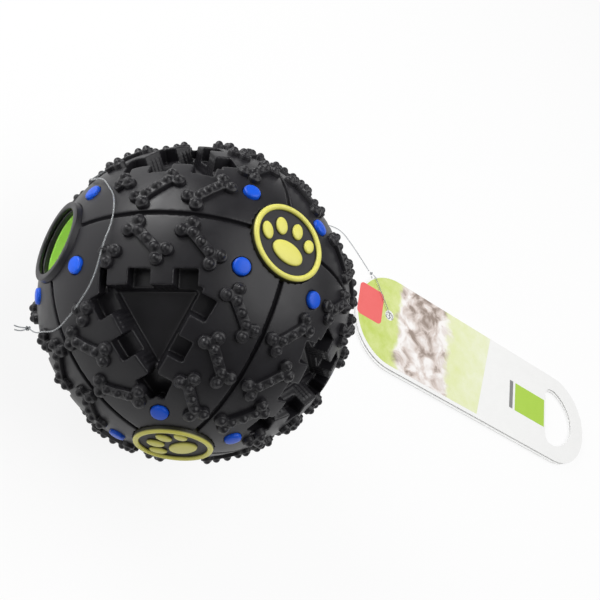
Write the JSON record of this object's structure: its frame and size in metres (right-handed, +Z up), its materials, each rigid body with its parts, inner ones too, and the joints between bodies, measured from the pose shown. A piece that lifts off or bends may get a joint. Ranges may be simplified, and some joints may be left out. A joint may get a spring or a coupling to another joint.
{
  "type": "treat-dispensing dog ball",
  "caption": "Hollow rubber dog ball with a treat mouth, raised bone tread, paw emblems, studs and a sliding sound cartridge; a card hang tag lies beside it on a clear thread.",
  "frame": {"origin": "centre of the ball", "axes": "-X out of the treat mouth and along the hidden sound cartridge, -Y out of the front paw emblem, +Z up through the top paw emblem; the ball stands on the flat ring of the bottom emblem"},
  "size_m": [0.3628, 0.17, 0.1147],
  "materials": {
    "tread_rubber": "matt black moulded rubber",
    "emblem_yellow": "satin yellow soft rubber",
    "stud_blue": "satin blue soft rubber",
    "black_plastic": "black, fine matt",
    "green_plastic": "lime green, glossy, slightly translucent",
    "white_plastic": "natural white",
    "reed_brass": "rolled, bare",
    "tag_card": "coated paperboard, printed",
    "thread_clear": "clear nylon thread"
  },
  "bodies": {
    "ball": {"shell_mouth_half": "tread_rubber", "shell_rear_half": "tread_rubber", "emblem_top_field": "tread_rubber", "emblem_front_field": "tread_rubber", "emblem_rear_field": "tread_rubber", "emblem_back_field": "tread_rubber", "emblem_bottom_field": "tread_rubber", "emblem_top_medallion": "emblem_yellow", "emblem_front_medallion": "emblem_yellow", "emblem_rear_medallion": "emblem_yellow", "emblem_back_medallion": "emblem_yellow", "emblem_bottom_medallion": "emblem_yellow", "stud_01": "stud_blue", "stud_02": "stud_blue", "stud_03": "stud_blue", "stud_04": "stud_blue", "stud_05": "stud_blue", "stud_06": "stud_blue", "stud_07": "stud_blue", "stud_08": "stud_blue", "stud_09": "stud_blue", "stud_10": "stud_blue", "stud_11": "stud_blue", "stud_12": "stud_blue", "stud_13": "stud_blue", "stud_14": "stud_blue", "stud_15": "stud_blue", "stud_16": "stud_blue", "stud_17": "stud_blue", "stud_18": "stud_blue", "stud_19": "stud_blue", "stud_20": "stud_blue", "stud_21": "stud_blue", "stud_22": "stud_blue", "stud_23": "stud_blue", "stud_24": "stud_blue", "mouth_collar": "black_plastic", "throat_clamp_ring": "black_plastic", "mouth_throat": "green_plastic", "sound_barrel": "green_plastic", "sound_rear_cap": "white_plastic", "sound_front_cap": "white_plastic", "tag_back_leaf": "tag_card", "tag_front_leaf": "tag_card", "thread": "thread_clear", "thread_tag_loop": "thread_clear", "thread_end_knot": "thread_clear", "thread_tag_knot": "thread_clear"},
    "reed_carriage": {"reed_weight": "reed_brass", "reed_block": "white_plastic", "reed_tongue": "reed_brass"}
  },
  "joints": [
    {"name": "reed_slide", "type": "slide", "parent": "ball", "child": "reed_carriage", "axis": [1, 0, 0], "range_m": [-0.0087, 0.0087]}
  ]
}
